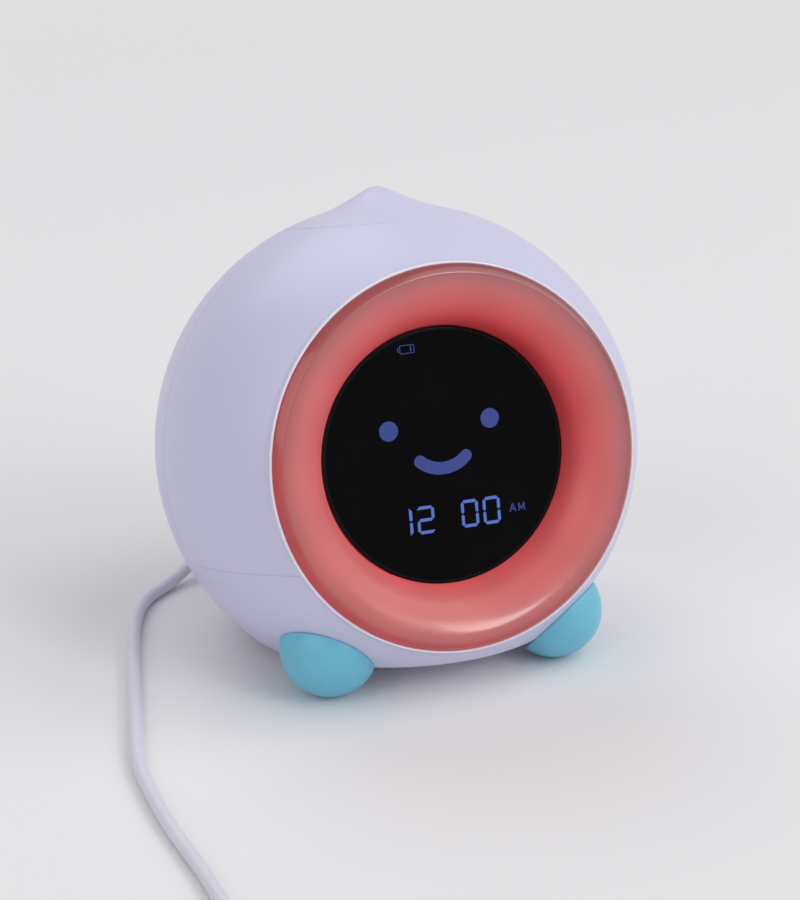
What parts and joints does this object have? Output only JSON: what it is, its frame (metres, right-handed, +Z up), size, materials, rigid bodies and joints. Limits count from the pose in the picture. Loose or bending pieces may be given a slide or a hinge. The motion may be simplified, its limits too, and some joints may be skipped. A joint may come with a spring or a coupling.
{
  "type": "alarm clock",
  "caption": "Round children's alarm clock with a glowing night-light ring round a dark display, a big press-down cap, rear keys, ball feet and a USB lead.",
  "frame": {"origin": "centre of the body's footprint, on the surface it stands on, without the lead", "axes": "+Z up, -Y towards the viewer of the display, +X to the right of that viewer"},
  "size_m": [0.2478, 0.2824, 0.1346],
  "materials": {
    "shell": "satin",
    "ring": "satin",
    "white_plastic": "satin",
    "dark_plastic": "satin",
    "window": "gloss",
    "screen": "gloss",
    "circuit_board": "satin",
    "led": "gloss",
    "turquoise": "satin",
    "rubber": "matte",
    "steel": "brushed",
    "nickel": "polished",
    "cone_paper": "matte",
    "ribbon": "gloss",
    "cell": "gloss",
    "can": "satin",
    "socket": "satin",
    "wire": "satin",
    "lead": "satin",
    "tie": "matte"
  },
  "bodies": {
    "clock": {"front_shell": "shell", "rear_shell": "shell", "base_shell": "shell", "cap_carrier": "white_plastic", "cap_switch": "dark_plastic", "cap_board": "circuit_board", "light_ring": "ring", "lamp_tray": "white_plastic", "led_board": "white_plastic", "leds": "led", "display_lens": "window", "display_frame": "dark_plastic", "lcd_panel": "screen", "backlight": "white_plastic", "display_ribbon": "ribbon", "main_board": "circuit_board", "board_chips": "dark_plastic", "board_capacitors": "can", "board_sockets": "socket", "key_guide": "white_plastic", "key_board": "circuit_board", "key_switches": "dark_plastic", "speaker_basket": "steel", "speaker_cone": "cone_paper", "speaker_magnet": "steel", "speaker_gasket": "rubber", "power_jack": "dark_plastic", "battery_box": "white_plastic", "battery_contacts": "nickel", "batteries": "cell", "left_foot": "turquoise", "right_foot": "turquoise", "foot_pads": "rubber", "back_pad": "rubber", "case_screws": "steel", "small_screws": "steel", "foot_screws": "steel", "speaker_leads": "wire", "power_leads": "wire", "lamp_leads": "wire", "button_leads": "wire", "cord_plug": "lead", "plug_barrel": "nickel", "cord_relief": "lead", "cord_tube": "lead", "cord_coil": "lead", "cord_tie": "tie", "usb_plug": "lead", "usb_shell": "nickel"},
    "top_button": {"top_cap": "shell", "cap_screw": "steel", "cap_plunger": "rubber"},
    "key_1": {"key_1": "turquoise"},
    "key_2": {"key_2": "turquoise"},
    "key_3": {"key_3": "turquoise"},
    "key_4": {"key_4": "turquoise"},
    "key_5": {"key_5": "turquoise"},
    "battery_door": {"battery_door": "shell", "door_screw": "steel"}
  },
  "joints": [
    {"name": "top_button_press", "type": "slide", "parent": "clock", "child": "top_button", "axis": [0, -0.23, -0.9732], "range_m": [0, 0.0015], "stiffness_N_per_m": 800, "springref_m": -0.001},
    {"name": "key_1_press", "type": "slide", "parent": "clock", "child": "key_1", "axis": [0, -0.9732, 0.23], "range_m": [0, 0.0008], "stiffness_N_per_m": 600, "springref_m": -0.001},
    {"name": "key_2_press", "type": "slide", "parent": "clock", "child": "key_2", "axis": [0, -0.9732, 0.23], "range_m": [0, 0.0008], "stiffness_N_per_m": 600, "springref_m": -0.001},
    {"name": "key_3_press", "type": "slide", "parent": "clock", "child": "key_3", "axis": [0, -0.9732, 0.23], "range_m": [0, 0.0008], "stiffness_N_per_m": 600, "springref_m": -0.001},
    {"name": "key_4_press", "type": "slide", "parent": "clock", "child": "key_4", "axis": [0, -0.9732, 0.23], "range_m": [0, 0.0008], "stiffness_N_per_m": 600, "springref_m": -0.001},
    {"name": "key_5_press", "type": "slide", "parent": "clock", "child": "key_5", "axis": [0, -0.9732, 0.23], "range_m": [0, 0.0008], "stiffness_N_per_m": 600, "springref_m": -0.001},
    {"name": "battery_door_lift", "type": "slide", "parent": "clock", "child": "battery_door", "axis": [0, -0.0958, -0.9954], "range_m": [0, 0.008]}
  ]
}
